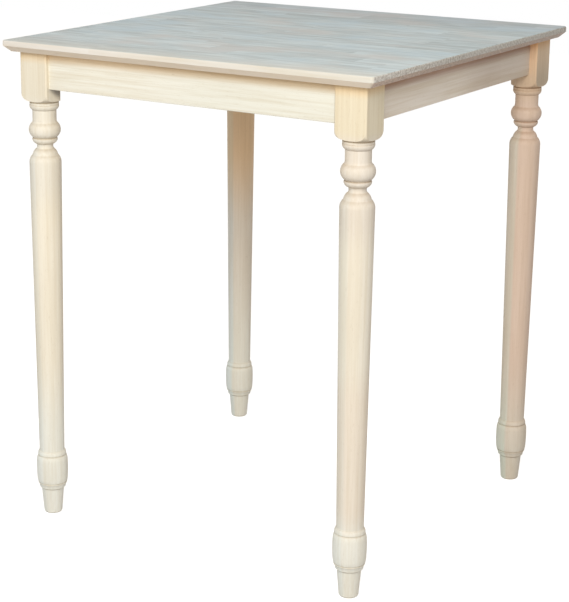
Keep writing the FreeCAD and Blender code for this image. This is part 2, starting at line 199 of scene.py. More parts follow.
class StageSettings(bpy.types.PropertyGroup):
    """Camera and light."""
    lens: number("Lens", "Focal length", 104.304, unit="CAMERA")
    shift_x: number("Shift X", "Sideways shift of the lens", 0.1314)
    shift_y: number("Shift Y", "Upright shift of the lens", -0.0887)
    azimuth: turned_by("Azimuth", "Turn of the camera about the table", 34.298)
    elevation: turned_by("Elevation", "How far the camera looks down", 14.473)
    roll: turned_by("Roll", "Turn about the line of sight", 0.027)
    position: bpy.props.FloatVectorProperty(name="Position", description="Place of the camera",
                                            default=(1.6869, -2.7603, 1.3367), size=3,
                                            subtype="TRANSLATION", unit="LENGTH")
    key: number("Key light", "Power of the key lamp", 70.0, unit="POWER")
    world: number("World light", "Strength of the even light", 0.45)


# Meshes

# Angles between faces, in degrees, up to which an arris is smoothed over
LEG_SMOOTHNESS = 26.0
STAVE_SMOOTHNESS = 30.0
METAL_SMOOTHNESS = 35.0
# Distances below which vertices are welded, and below which they lie on a plane
WELD = 1e-7
ON_PLANE = 1e-6


def place_object(name, data):
    """An object in the scene, at the origin and unturned."""
    obj = bpy.data.objects.new(name, data)
    bpy.context.scene.collection.objects.link(obj)
    return obj


def smooth_below(mesh, degrees):
    mesh.shade_smooth()
    mesh.set_sharp_from_angle(angle=math.radians(degrees))


def skin(name, mesh_data, material=None, smooth_degrees=METAL_SMOOTHNESS):
    """An object from a bmesh: welded, pointing outwards, and smooth below the given angle."""
    bmesh.ops.remove_doubles(mesh_data, verts=mesh_data.verts, dist=WELD)
    bmesh.ops.recalc_face_normals(mesh_data, faces=mesh_data.faces)
    mesh = bpy.data.meshes.new(name)
    mesh_data.to_mesh(mesh)
    mesh_data.free()
    smooth_below(mesh, smooth_degrees)
    if material:
        mesh.materials.append(material)
    return place_object(name, mesh)


def bridge_rows(mesh_data, rows):
    """Faces between closed rows of vertices that have the same count."""
    for lower, upper in zip(rows, rows[1:]):
        for index, vert in enumerate(lower):
            following = (index + 1) % len(lower)
            mesh_data.faces.new((vert, lower[following], upper[following], upper[index]))


def cap_row(mesh_data, row, centre):
    """A fan of triangles from a closed row of vertices to its centre."""
    hub = mesh_data.verts.new(centre)
    for index, vert in enumerate(row):
        mesh_data.faces.new((vert, row[(index + 1) % len(row)], hub))


def ring(mesh_data, places):
    """A closed row of vertices round the Z axis, from the radius and height of each."""
    angles = [TAU * step / len(places) for step in range(len(places))]
    return [mesh_data.verts.new((radius * math.cos(angle), radius * math.sin(angle), height))
            for angle, (radius, height) in zip(angles, places)]


def evaluated_mesh(obj):
    """A plain mesh of the object as its modifiers leave it."""
    graph = bpy.context.evaluated_depsgraph_get()
    return bpy.data.meshes.new_from_object(obj.evaluated_get(graph), depsgraph=graph)


# Materials

# Settings of the nodes that come up again and again
TIMES = {"operation": "MULTIPLY"}
TIMES_PLUS = {"operation": "MULTIPLY_ADD"}
MINUS = {"operation": "SUBTRACT"}
OVER = {"operation": "DIVIDE"}
ROUND_DOWN = {"operation": "FLOOR"}
UNSIGNED = {"operation": "ABSOLUTE"}
SMOOTH = {"interpolation_type": "SMOOTHSTEP"}
COVER = {"data_type": "RGBA", "blend_type": "MIX"}
TINT = {"data_type": "RGBA", "blend_type": "MULTIPLY"}

# Patterns of the grain: size across and along it in mm, detail, and place in the noise. Pores
# are about 0.2 mm wide; they are drawn 0.9 to 1 mm wide so that they show
SOLID_GRAIN = {"broad": (38.0, 420.0, 1.0, 3.0), "streaks": (5.5, 260.0, 2.0, 0.0),
               "fibres": (1.6, 60.0, 3.0, 7.0), "pores": (0.9, 9.0, 1.0, 11.0)}
STAVE_GRAIN = {"broad": (30.0, 220.0, 1.0, 0.0), "streaks": (7.0, 85.0, 3.0, 0.0),
               "fibres": (1.8, 55.0, 3.0, 0.0), "pores": (1.0, 9.0, 1.0, 0.0)}
PATCHES = {"patches": (95.0, 150.0, 2.0, 13.0)}
# Lengths of finger-jointed wood in an apron or corner block and in the top
APRON_LENGTH = 170 * MM
STAVE_LENGTH = 290 * MM
GLUE_LINE = 0.5 * MM
NOISE_ROUGHNESS = 0.55
BUMP_STRENGTH = 0.35
BUMP_DEPTH = 0.4 * MM
WOOD_SPECULAR = 0.3

# Tints, as shares of red, green and blue
FINGER_TINT = (0.98, 0.965, 0.96)
APRON_GRAIN_TINT = (0.84, 0.79, 0.71)
LEG_GRAIN_TINT = (0.90, 0.87, 0.82)
PORE_TINT = (0.66, 0.58, 0.48)
END_TINT = (0.64, 0.56, 0.46)
BACK_STAVES_SHADE_TINT = (0.86, 0.84, 0.85)
RIM_RIGHT_SHADE_TINT = (0.84, 0.845, 0.81)
RIM_GRAIN_TINT = (0.93, 0.89, 0.82)
END_BACK_SHADE_TINT = (0.81, 0.81, 0.80)


def node(tree, family, kind, *values, out=None, links=None, **settings):
    """Adds a node with its settings. Its sockets in use take values or links in order, and
    those in links by name. Gives its output of the name in out, or else the first in use."""
    new = tree.nodes.new(family + kind)
    for name, value in settings.items():
        setattr(new, name, value)
    pairs = list(zip([socket for socket in new.inputs if socket.enabled], values))
    pairs += [(new.inputs[name], value) for name, value in (links or {}).items()]
    for socket, value in pairs:
        if isinstance(value, bpy.types.NodeSocket):
            tree.links.new(value, socket)
        else:
            socket.default_value = (*value[:3], 1.0) if socket.type == "RGBA" else value
    return next((socket for socket in new.outputs
                 if socket.enabled and out in (None, socket.name)), None)


def new_material(name):
    """A material, and the function that adds a shader node to it."""
    material = bpy.data.materials.new(name)
    material.use_nodes = True
    material.node_tree.nodes.clear()
    return material, partial(node, material.node_tree, "ShaderNode")


def along(add, what, axis):
    """The place ("Object") or the facing ("Normal") of the surface along one axis."""
    return add("SeparateXYZ", add("TexCoord", out=what), out=axis)


def height_share(add, low, high, first=0.0, last=1.0):
    """From the first value to the last, smoothly, between two heights above the floor."""
    return add("MapRange", along(add, "Object", "Z"), low, high, first, last, **SMOOTH)


def grain_patterns(add, place, axis, patterns, seed=0.0):
    """Noise that is drawn out along the grain, one for each of the patterns."""
    noises = []
    for across, lengthwise, detail, shift in patterns.values():
        scale = [1 / (across * MM)] * 3
        scale["XYZ".index(axis)] = 1 / (lengthwise * MM)
        start = seed + shift
        moved = add("Mapping", place, (start, start * 1.7, start * 2.3), (0, 0, 0), scale)
        noises.append(add("TexNoise", moved, 1.0, detail, NOISE_ROUGHNESS))
    return noises


def weighed(add, *parts):
    """The sum of the parts, each times its weight."""
    total = 0.0
    for value, weight in parts:
        total = add("Math", value, weight, total, **TIMES_PLUS)
    return total


def coated(add, base, *coats):
    """Lays coats over a base: each has its share, its colour, and covers or tints the rest."""
    for share, tint, way in coats:
        base = add("Mix", share, base, tint, **way)
    return base


def sanded(add, body, fibres, dashes, smoothest, roughest):
    """Sanded bare wood: broad weak gloss, and a bump that follows the fibres and pores."""
    height = add("Math", fibres, dashes, **MINUS)
    bump = add("Bump", links={"Strength": BUMP_STRENGTH, "Distance": BUMP_DEPTH,
                              "Height": height})
    roughness = add("MapRange", fibres, 0.3, 0.7, smoothest, roughest, **SMOOTH)
    shader = add("BsdfPrincipled", links={"Base Color": body, "Roughness": roughness,
                                          "Normal": bump, "Specular IOR Level": WOOD_SPECULAR})
    add("OutputMaterial", shader)


def rubberwood(name, axis, tones, seed, shade=None, dark_side=None, strip=None, painted_end_shade=None,
               inward=None):
    """Planed and sanded rubberwood: pale, with long soft streaks, fine fibres and short open
    pores that read as darker dashes along the grain. End grain is a little darker. The tones
    are pairs of a height above the floor and the colour there. The others are left out where
    a piece doesn't have them:
    shade: painted shade close under the top, as a colour and two heights;
    dark_side: a darker side, as a dictionary; on the front blocks it is painted shade;
    strip: the left half of a blank glued up of two, as a tint, the joint's place along X, and
    the heights between which it fades out;
    painted_end_shade: painted shade towards one end, as a tint and two places along the grain;
    inward: a browner stretch of painted warm shade, as a colour, the direction that it faces and
    four heights."""
    material, add = new_material(name)
    place = add("TexCoord", out="Object")
    coats = [(height_share(add, low, high), above, COVER)
             for (low, below), (high, above) in zip(tones, tones[1:])]
    # Painted warm shade: a browner stretch on the side that faces the middle of the table
    if inward:
        brown, direction, (start, full, fading, end) = inward
        facing = add("VectorMath", add("TexCoord", out="Normal"), direction,
                     operation="DOT_PRODUCT")
        stretch = add("Math", height_share(add, start, full), height_share(add, fading, end),
                      **MINUS)
        share = add("Math", stretch, add("MapRange", facing, -0.6, -0.2, **SMOOTH), **TIMES)
        coats.append((share, brown, COVER))
    if strip:
        tint, joint, low, high = strip
        left = add("MapRange", along(add, "Object", "X"), joint - 4 * MM, joint + 3 * MM,
                   1.0, 0.0, **SMOOTH)
        share = add("Math", left, height_share(add, low, high, 1.0, 0.0), **TIMES)
        coats.append((share, tint, TINT))
    run = along(add, "Object", axis)
    if axis != "Z":
        # Finger-jointed lengths, each of a slightly different tone
        length_number = add("Math", run, 1 / APRON_LENGTH, seed, **TIMES_PLUS)
        length_number = add("Math", length_number, **ROUND_DOWN)
        tone = add("TexWhiteNoise", length_number, noise_dimensions="1D")
        coats.append((tone, FINGER_TINT, TINT))
    # Painted shade: darker towards one end
    if painted_end_shade:
        tint, low, high = painted_end_shade
        coats.append((add("MapRange", run, low, high, **SMOOTH), tint, TINT))
    broad, streaks, fibres, pores = grain_patterns(add, place, axis, SOLID_GRAIN, seed)
    grain = weighed(add, (broad, 0.9), (streaks, 0.9), (fibres, 0.5))
    coats.append((add("MapRange", grain, 0.8, 1.5, **SMOOTH),
                  LEG_GRAIN_TINT if axis == "Z" else APRON_GRAIN_TINT, TINT))
    # Painted shade close under the top
    if shade:
        coats.append((height_share(add, *shade[1:]), shade[0], TINT))
    # A darker side; on the inner side of the front blocks it is painted shade
    if dark_side:
        side = dark_side
        depth = add("MapRange", along(add, "Object", "Y"), side["front"], side["back"], **SMOOTH)
        darker_reach = weighed(add, (height_share(add, side["low"], side["high"]), 1.0), (depth, 1.0))
        facing = add("Math", along(add, "Normal", "X"), side["towards"], **TIMES)
        above = height_share(add, side["high"], side["high"] + 6 * MM)
        kept = add("MapRange", above, 0.0, 1.0, 1.0, side["kept_above"], **SMOOTH)
        share = add("Math", add("MapRange", darker_reach, 0.8, 1.6, **SMOOTH), kept, **TIMES)
        share = add("Math", share, add("MapRange", facing, 0.85, 0.97, **SMOOTH), **TIMES)
        coats.append((share, side["tint"], TINT))
    dashes = add("MapRange", pores, 0.66, 0.78, **SMOOTH)
    coats.append((add("Math", dashes, 0.35, **TIMES), PORE_TINT, TINT))
    squarely = add("Math", along(add, "Normal", axis), **UNSIGNED)
    coats.append((add("MapRange", squarely, 0.35, 0.95, 0.0, 0.5, **SMOOTH), END_TINT, TINT))
    sanded(add, coated(add, tones[0][1], *coats), fibres, dashes, 0.52, 0.66)
    return material


def stave_board(name, finishes, sizes):
    """Edge-glued, finger-jointed rubberwood: each stave is a row of shorter lengths whose tones
    differ, as cut from different logs. The flat faces have a painted cool grey cast, a painted
    reflection of cool light on the pale wood; the long sides of the rim are creamy and the sawn
    ends are brown and rougher."""
    material, add = new_material(name)
    place = add("TexCoord", out="Object")
    x, y = [along(add, "Object", axis) for axis in "XY"]
    width = sizes.side / sizes.stave_count
    staves = add("Math", y, width, **OVER)
    row = add("Math", staves, **ROUND_DOWN)
    # Each row of lengths starts at its own place
    start = add("TexWhiteNoise", row, noise_dimensions="1D")
    lengths = add("Math", start, 7.0, add("Math", x, STAVE_LENGTH, **OVER), **TIMES_PLUS)
    piece = add("CombineXYZ", add("Math", lengths, **ROUND_DOWN), row)
    tone = add("TexWhiteNoise", piece, noise_dimensions="2D")
    moved = add("VectorMath", tone.node.outputs["Color"], (3, 3, 3), place, **TIMES_PLUS)
    broad, streaks, fibres, pores = grain_patterns(add, moved, "X", STAVE_GRAIN)
    patches = grain_patterns(add, place, "X", PATCHES)[0]
    dashes = add("MapRange", pores, 0.66, 0.8, **SMOOTH)
    grain = weighed(add, (broad, 0.6), (streaks, 1.5), (fibres, 0.3), (tone, 0.3))
    grain = add("MapRange", grain, 0.8, 1.9, **SMOOTH)
    within = add("Math", staves, operation="FRACT")
    from_edge = add("Math", within, add("Math", 1.0, within, **MINUS), operation="MINIMUM")
    glue = add("MapRange", from_edge, 0.0, GLUE_LINE / width, 0.35, 0.0, **SMOOTH)
    face = coated(
        add, finishes.top_light, (grain, finishes.top_dark, COVER),
        (add("MapRange", patches, 0.5, 0.72, 0.0, 0.6, **SMOOTH), finishes.top_blue, COVER),
        (add("MapRange", patches, 0.28, 0.5, 0.6, 0.0, **SMOOTH), finishes.top_brown, COVER),
        # The front stave is creamier, and the last two towards the back are a little darker,
        # which is painted shade
        (add("MapRange", y, -0.38, -0.29, 0.5, 0.0, **SMOOTH), finishes.top_cream, COVER),
        (add("MapRange", y, 0.2, 0.36, **SMOOTH), BACK_STAVES_SHADE_TINT, TINT),
        (add("Math", dashes, 0.25, **TIMES), [part * 0.7 for part in finishes.top_dark], COVER),
        (glue, linear("7D7468"), COVER))
    upwards = along(add, "Normal", "Z")
    # The bevel faces down: its warmer colour on the rim and the sawn ends is painted shade under
    # the rim
    below = add("MapRange", upwards, -0.6, -0.2, 1.0, 0.0, **SMOOTH)
    # Painted shade: the rim is a little darker towards its right end, and the sawn ends towards
    # the back
    rim = coated(add, finishes.rim_light,
                 (add("MapRange", x, -0.38, 0.38, **SMOOTH), RIM_RIGHT_SHADE_TINT, TINT),
                 (below, finishes.bevel, COVER), (grain, RIM_GRAIN_TINT, TINT))
    speckle = add("TexNoise", place, 260.0, 4.0)
    end = coated(add, finishes.end_light,
                 (add("MapRange", speckle, 0.35, 0.65, **SMOOTH), finishes.end_dark, COVER),
                 (add("Math", tone, 0.4, **TIMES), linear("D6D2CC"), COVER),
                 (glue, linear("6E5F52"), COVER),
                 (add("MapRange", y, -0.38, -0.05, **SMOOTH), END_BACK_SHADE_TINT, TINT),
                 (below, linear("F8E2D6"), TINT))
    # The rounded corners show long grain, up to where they face squarely along the staves
    end_on, side_on = [add("Math", along(add, "Normal", axis), **UNSIGNED) for axis in "XY"]
    sawn = add("Math", add("MapRange", end_on, 0.35, 0.65, **SMOOTH),
               add("MapRange", side_on, 0.25, 0.6, 1.0, 0.0, **SMOOTH), **TIMES)
    flat = add("MapRange", upwards, 0.55, 0.92, **SMOOTH)
    body = coated(add, rim, (sawn, end, COVER), (flat, face, COVER))
    sanded(add, body, fibres, dashes, 0.45, 0.6)
    return material


def zinc_steel(finishes):
    """Zinc-plated steel: a pale grey metal with soft gloss and a faint cloudiness."""
    material, add = new_material("zinc_plated_steel")
    clouds = add("TexNoise", add("TexCoord", out="Object"), 900.0, 2.0)
    body = coated(add, finishes.zinc, (add("MapRange", clouds, 0.3, 0.7, **SMOOTH),
                                       linear("A9AEB2"), COVER))
    roughness = add("MapRange", clouds, 0.3, 0.7, 0.28, 0.42, **SMOOTH)
    shader = add("BsdfPrincipled", links={"Base Color": body, "Roughness": roughness,
                                          "Metallic": 1.0})
    add("OutputMaterial", shader)
    return material


# The turned leg


class Outline:
    """The outline of a turned leg from the floor upwards, as rows of radius and height in mm."""

    def __init__(self, diameter):
        self.points = [(diameter / 2, 0.0)]

    def taper(self, diameter, height, steps=1):
        radius, start = self.points[-1]
        for step in range(1, steps + 1):
            share = step / steps
            self.points.append((radius + share * (diameter / 2 - radius), start + share * height))

    def curve(self, diameter, height, middle_diameter, place=0.5, steps=14):
        """A circular arc through the given middle diameter."""
        first = Vector((*self.points[-1],))
        middle = Vector((middle_diameter / 2, first.y + place * height))
        last = Vector((diameter / 2, first.y + height))
        centre = circle_centre(first, middle, last)
        start = math.atan2(first.y - centre.y, first.x - centre.x)
        turn = math.atan2(last.y - centre.y, last.x - centre.x) - start
        turn = (turn + math.pi) % TAU - math.pi
        radius = (first - centre).length
        for step in range(1, steps + 1):
            angle = start + turn * step / steps
            self.points.append((centre.x + radius * math.cos(angle),
                                centre.y + radius * math.sin(angle)))

    def swept(self, diameter, height, share, steps=10):
        """An arc whose middle has made a share of the whole change in diameter."""
        start = 2 * self.points[-1][0]
        self.curve(diameter, height, start + share * (diameter - start), steps=steps)

    def groove(self, diameter, width, depth=1.5):
        floor = min(2 * self.points[-1][0], diameter) - 2 * depth
        self.taper(floor, width / 2)
        self.taper(diameter, width / 2)


# The turned forms from the floor upwards, in mm: how each is cut, its upper diameter and its
# height, and then a taper's steps, an arc's middle diameter with its place and steps, the share
# that a sweep has made halfway, or a groove's depth
FOOT_TIP = 31.0
SHAFT_TOP = 59.0
COLLAR = 54.0
BELOW_SHAFT = {
    "foot chamfer": (Outline.taper, 34.5, 2.5),
    "foot": (Outline.taper, 42.5, 47.0, 4),
    "foot groove": (Outline.groove, 49.0, 2.5),
    "ring": (Outline.swept, 55.0, 8.5, 0.3),
    "ring groove": (Outline.groove, 56.0, 3.0),
    "bulb taper": (Outline.taper, 58.0, 5.0, 2),
    "bulb": (Outline.curve, 59.0, 37.8, 59.6),
    "bulb crown": (Outline.swept, 54.5, 9.5, 0.24),
    "bead groove": (Outline.groove, 54.0, 3.0),
    "bead": (Outline.curve, 47.5, 8.5, 53.2, 0.4),
}
ABOVE_SHAFT = {
    "shaft rounding": (Outline.swept, 48.0, 13.0, 0.24),
    "shaft fall": (Outline.taper, 46.5, 1.0),
    "bell": (Outline.swept, 34.5, 10.4, 0.3),
    "waist flare": (Outline.swept, 29.5, 5.1, 0.8),
    "waist": (Outline.taper, 30.5, 4.0),
    "reel": (Outline.swept, 46.4, 7.8, 0.72),
    "reel band": (Outline.taper, 46.4, 2.7),
    "ball groove": (Outline.groove, 44.5, 2.4),
    "ball": (Outline.curve, 48.0, 26.2, 58.5, 0.5, 24),
    "neck cove": (Outline.swept, 44.0, 4.3, 0.72),
    "neck": (Outline.taper, 44.0, 19.7, 2),
    "collar cove": (Outline.swept, COLLAR, 7.0, 0.72),
    "collar band": (Outline.taper, COLLAR, 2.4),
    "collar quirk": (Outline.groove, 53.6, 1.4, 0.5),
    "collar fillet": (Outline.taper, 53.6, 3.2),
    "collar groove": (Outline.groove, COLLAR, 3.0, 2.0),
}

# Facets round a leg, along the shaft, round each arris of the block, and up its shoulder and side
ROUND_STEPS = 120
SHAFT_STEPS = 24
ARRIS_STEPS = 4
SHOULDER_STEPS = 12
BLOCK_STEPS = 4


def circle_centre(a, b, c):
    """The centre of the circle through three points of a plane."""
    d = 2 * (a.x * (b.y - c.y) + b.x * (c.y - a.y) + c.x * (a.y - b.y))
    squares = (a.length_squared, b.length_squared, c.length_squared)
    x = squares[0] * (b.y - c.y) + squares[1] * (c.y - a.y) + squares[2] * (a.y - b.y)
    y = squares[0] * (c.x - b.x) + squares[1] * (a.x - c.x) + squares[2] * (b.x - a.x)
    return Vector((x / d, y / d))


def leg_outline(block_bottom):
    """Every turned form from the floor to the foot of the square block."""
    outline = Outline(FOOT_TIP)
    for cut, *values in BELOW_SHAFT.values():
        cut(outline, *values)
    above = sum(values[2] for values in ABOVE_SHAFT.values())
    outline.taper(SHAFT_TOP, block_bottom - above - outline.points[-1][1], SHAFT_STEPS)
    for cut, *values in ABOVE_SHAFT.values():
        cut(outline, *values)
    return outline.points


def block_reach(angle, half, easing, cut, limit):
    """Distance from the leg's axis to the side of its block; the cut corner is at -X and -Y."""
    ray = Vector((math.cos(angle), math.sin(angle)))
    reach = min(half / max(abs(ray.x), 1e-9), half / max(abs(ray.y), 1e-9))
    inward = -(ray.x + ray.y)
    if inward > 0:
        reach = min(reach, (2 * half - cut) / inward)
    point = ray * reach
    inner = half - easing
    if abs(point.x) > inner and abs(point.y) > inner:
        centre = Vector((math.copysign(inner, point.x), math.copysign(inner, point.y)))
        forward = ray.dot(centre)
        reach = forward + math.sqrt(forward ** 2 - centre.length_squared + easing ** 2)
    return min(reach, limit)


def leg_angles(half, easing, cut):
    """Directions round the leg: every three degrees, and closer round the block's arrises."""
    angles = {round(TAU * step / ROUND_STEPS, 6) for step in range(ROUND_STEPS)}
    for quarter in (0, 1, 3):
        middle = math.radians(45 + 90 * quarter)
        arris = math.atan2(half, half - easing) - math.pi / 4
        for step in range(-ARRIS_STEPS, ARRIS_STEPS + 1):
            angles.add(round((middle + arris * step / ARRIS_STEPS) % TAU, 6))
    for x, y in ((cut - half, -half), (-half, cut - half)):
        angles.add(round(math.atan2(y, x) % TAU, 6))
    return sorted(angles)


def build_leg(name, x_side, y_side, material, legs, top):
    """One leg: the turned forms, the rounded shoulder and the square block as one skin."""
    half, easing, cut, shoulder = [size / MM for size in (legs.square / 2, legs.block_easing,
                                                          legs.corner_cut, legs.shoulder)]
    leg_top = underside(top) / MM
    block_bottom = leg_top - legs.block_height / MM
    collar = COLLAR / 2
    outline = leg_outline(block_bottom)
    angles = leg_angles(half, easing, cut)
    columns = []
    for angle in angles:
        reach = block_reach(angle, half, easing, cut, collar + shoulder)
        column = list(outline)
        rise = math.asin(min(1.0, (reach - collar) / shoulder))
        for step in range(1, SHOULDER_STEPS + 1):
            slope = rise * step / SHOULDER_STEPS
            column.append((collar + shoulder * math.sin(slope),
                           block_bottom + shoulder * (1 - math.cos(slope))))
        level = column[-1][1]
        for step in range(1, BLOCK_STEPS + 1):
            column.append((reach, level + (leg_top - level) * step / BLOCK_STEPS))
        columns.append(column)
    mesh_data = bmesh.new()
    centre = Vector((x_side * legs.centre, y_side * legs.centre, 0.0))
    rays = [Vector((x_side * math.cos(angle), y_side * math.sin(angle), 0.0))
            for angle in angles]
    rows = [[mesh_data.verts.new(centre + ray * radius * MM + Vector((0.0, 0.0, height * MM)))
             for ray, (radius, height) in zip(rays, level)] for level in zip(*columns)]
    bridge_rows(mesh_data, rows)
    cap_row(mesh_data, rows[0], (centre.x, centre.y, 0.0))
    cap_row(mesh_data, rows[-1], (centre.x, centre.y, leg_top * MM))
    leg = skin("turned_leg_" + name, mesh_data, material, LEG_SMOOTHNESS)
    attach(leg, "root")
    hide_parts("leg_" + name)


# Heights above the floor, in metres, where each leg has the colour of the named parts, some
# with painted light and shade as told above; the tone passes smoothly from one to the next
LEG_TONES = {
    "front_left": ((0.15, "foot"), (0.33, "leg"), (0.58, "leg"), (0.66, "turned"),
                   (0.79, "turned"), (0.82, "block")),
    "front_right": ((0.1, "foot"), (0.17, "low"), (0.35, "low"), (0.43, "leg"), (0.6, "leg"),
                    (0.68, "turned"), (0.79, "turned"), (0.82, "block")),
    "back_left": ((0.12, "foot"), (0.42, "leg"), (0.7, "leg"), (0.78, "block")),
    "back_right": ((0.05, "foot"), (0.28, "leg"), (0.76, "leg"), (0.81, "block"),
                   (0.88, "high")),
}
# How the left strip of each blank differs from the right one, and where that fades out upwards
STRIP_TINTS = {"front_left": (0.97, 1.0, 1.03), "front_right": (0.96, 1.0, 1.03),
               "back_left": (0.94, 1.03, 1.12), "back_right": (0.98, 1.14, 1.2)}
STRIP_END = (0.69, 0.75)
# The browner stretch of the back left leg, painted warm shade under the top, faces the middle
# of the table
PAINTED_SHADE_FACING = (0.707, -0.707, 0.0)
PAINTED_SHADE_STRETCH = (0.42, 0.62, 0.7, 0.78)
# How far below the top's underside the painted shade starts and is full
SHADE_DROPS = (24 * MM, 5 * MM)
SIDE_SHADE_DROPS = (27 * MM, 9 * MM)
# Painted shade towards the right end of the front apron, and towards the back end of the side one
FRONT_APRON_END_SHADE = ((0.862, 0.86, 0.842), -240 * MM, 120 * MM)
SIDE_APRON_END_SHADE = ((0.824, 0.79, 0.773), -30 * MM, 130 * MM)


def underside(top):
    """Height of the underside of the top."""
    return top.height - top.thickness


def shade_under(top, tint, drops):
    """Painted shade close under the top: its tint, and the heights where it starts and is full.
    """
    return (tint, *[underside(top) - drop for drop in drops])


class TABLE_OT_legs(bpy.types.Operator):
    """Builds the four turned legs"""
    bl_idname = "table.legs"
    bl_label = "Turned legs"

    def execute(self, context):
        scene = context.scene
        finishes = scene.table_finishes
        under_top = underside(scene.table_top)
        # Darker sides: painted shade on the inner side of the front blocks, and a darker, cooler
        # outer side of the back right one
        inner_painted_shade = {"tint": (0.50, 0.50, 0.54), "low": under_top - 92 * MM,
                      "high": under_top - 66 * MM, "kept_above": 0.4,
                      "front": -358 * MM, "back": -318 * MM}
        outer_side = {"tint": (0.77, 0.83, 0.87), "low": 0.8, "high": 0.81, "kept_above": 1.0,
                      "front": 0.0, "back": 0.1}
        for index, (name, (x_side, y_side)) in enumerate(CORNERS.items()):
            tones = [(height, getattr(finishes, part + "_" + name))
                     for height, part in LEG_TONES[name]]
            dark_side = inward = None
            if y_side < 0:
                dark_side = {"towards": -x_side, **inner_painted_shade}
            elif name == "back_right":
                dark_side = {"towards": x_side, **outer_side}
            else:
                inward = (finishes.high_back_left, PAINTED_SHADE_FACING, PAINTED_SHADE_STRETCH)
            joint = x_side * scene.table_legs.centre
            wood = rubberwood("sanded_rubberwood_leg_" + name, "Z", tones, 5.0 * index,
                              shade=shade_under(scene.table_top, finishes.leg_shade, SHADE_DROPS),
                              strip=(STRIP_TINTS[name], joint, *STRIP_END),
                              dark_side=dark_side, inward=inward)
            build_leg(name, x_side, y_side, wood, scene.table_legs, scene.table_top)
        return {"FINISHED"}


# The glued-up top


def rounded_square(mesh_data, half, radius, height, steps=6):
    """A closed row of vertices round a square with rounded corners."""
    row = []
    inner = half - radius
    for quarter, (x_side, y_side) in enumerate(((1, 1), (-1, 1), (-1, -1), (1, -1))):
        for step in range(steps + 1):
            angle = math.radians(90 * quarter) + math.pi / 2 * step / steps
            row.append(mesh_data.verts.new((x_side * inner + radius * math.cos(angle),
                                            y_side * inner + radius * math.sin(angle), height)))
    return row


def build_panel(top, steps=6):
    """The whole top as one skin, before it is divided."""
    mesh_data = bmesh.new()
    half = top.side / 2
    rows = [rounded_square(mesh_data, half - top.bevel_inset, top.corner, underside(top)),
            rounded_square(mesh_data, half, top.corner, underside(top) + top.bevel_height)]
    for step in range(steps + 1):
        angle = math.pi / 2 * step / steps
        inset = top.easing * (1 - math.cos(angle))
        rows.append(rounded_square(mesh_data, half - inset, top.corner - inset,
                                   top.height - top.easing * (1 - math.sin(angle))))
    bridge_rows(mesh_data, rows)
    mesh_data.faces.new(list(reversed(rows[0])))
    mesh_data.faces.new(rows[-1])
    return mesh_data


def cut_panel(mesh_data, place, towards, top):
    """Cuts the panel on an upright plane, keeps the side that it points to, closes the cut, and
    gives its upper edge the fine bevel of a glue line."""
    bmesh.ops.bisect_plane(mesh_data, geom=mesh_data.verts[:] + mesh_data.edges[:]
                           + mesh_data.faces[:], plane_co=(0, place, 0),
                           plane_no=(0, towards, 0), clear_inner=True, dist=ON_PLANE)
    rim = [edge for edge in mesh_data.edges if edge.is_boundary]
    bmesh.ops.holes_fill(mesh_data, edges=rim, sides=0)
    arris = [edge for edge in mesh_data.edges
             if all(max(abs(vert.co.z - top.height), abs(vert.co.y - place)) < ON_PLANE
                    for vert in edge.verts)]
    bmesh.ops.bevel(mesh_data, geom=arris, offset=top.joint_easing, segments=1,
                    affect="EDGES", clamp_overlap=True)


class TABLE_OT_top(bpy.types.Operator):
    """Builds the staves of the top, cut from one machined panel"""
    bl_idname = "table.top"
    bl_label = "Glued-up top"

    def execute(self, context):
        top = context.scene.table_top
        wood = stave_board("finger_jointed_rubberwood", context.scene.table_finishes, top)
        width = top.side / top.stave_count
        panel = build_panel(top)
        for index in range(top.stave_count):
            stave = panel.copy()
            front = index * width - top.side / 2
            if index > 0:
                cut_panel(stave, front, 1, top)
            if index < top.stave_count - 1:
                cut_panel(stave, front + width, -1, top)
            obj = skin("top_board_%02d" % (index + 1), stave, wood, STAVE_SMOOTHNESS)
            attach(obj, "root")
            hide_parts("top_stave_%02d" % (index + 1))
        panel.free()
        return {"FINISHED"}


class TABLE_OT_aprons(bpy.types.Operator):
    """Gives the aprons and corner blocks their wood"""
    bl_idname = "table.aprons"
    bl_label = "Aprons and corner blocks"

    def execute(self, context):
        finishes = context.scene.table_finishes
        top = context.scene.table_top
        along_x = rubberwood(
            "sanded_rubberwood_apron_x", "X", [(0.0, finishes.apron_front)], seed=31.0,
            shade=shade_under(top, finishes.shade, SHADE_DROPS), painted_end_shade=FRONT_APRON_END_SHADE)
        along_y = rubberwood(
            "sanded_rubberwood_apron_y", "Y", [(0.0, finishes.apron_side)], seed=37.0,
            shade=shade_under(top, finishes.side_shade, SIDE_SHADE_DROPS),
            painted_end_shade=SIDE_APRON_END_SHADE)
        block = rubberwood("planed_rubberwood_block", "X", [(0.0, finishes.corner_block)],
                           seed=41.0)
        woods = {"apron_front": along_x, "apron_back": along_x,
                 "apron_left": along_y, "apron_right": along_y,
                 **{"corner_block_" + name: block for name in CORNERS}}
        for name, wood in woods.items():
            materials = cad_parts[name].data.materials
            materials.clear()
            materials.append(wood)
        return {"FINISHED"}


# Fasteners

# Vertices round a bolt, a screw, a washer and a nut
BOLT_SEGMENTS = 20
SCREW_SEGMENTS = 16
WASHER_SEGMENTS = 40
NUT_SEGMENTS = 48
# Threads: rows of vertices in a turn, their depths, and the radius of a point
ROWS_PER_TURN = 6
LAG_DEPTH = 1.1 * MM
MACHINE_DEPTH = 0.7 * MM
SCREW_DEPTH = 0.55 * MM
POINT_RADIUS = 0.05 * MM
# A hanger bolt from its point: the pointed stretch, where its wood thread ends and its machine
# thread starts, measured from the leg's cut corner, and the chamfer of its end
LAG_POINT = 7 * MM
LAG_END = -4 * MM
MACHINE_START = 0.5 * MM
BOLT_CHAMFER = 0.8 * MM
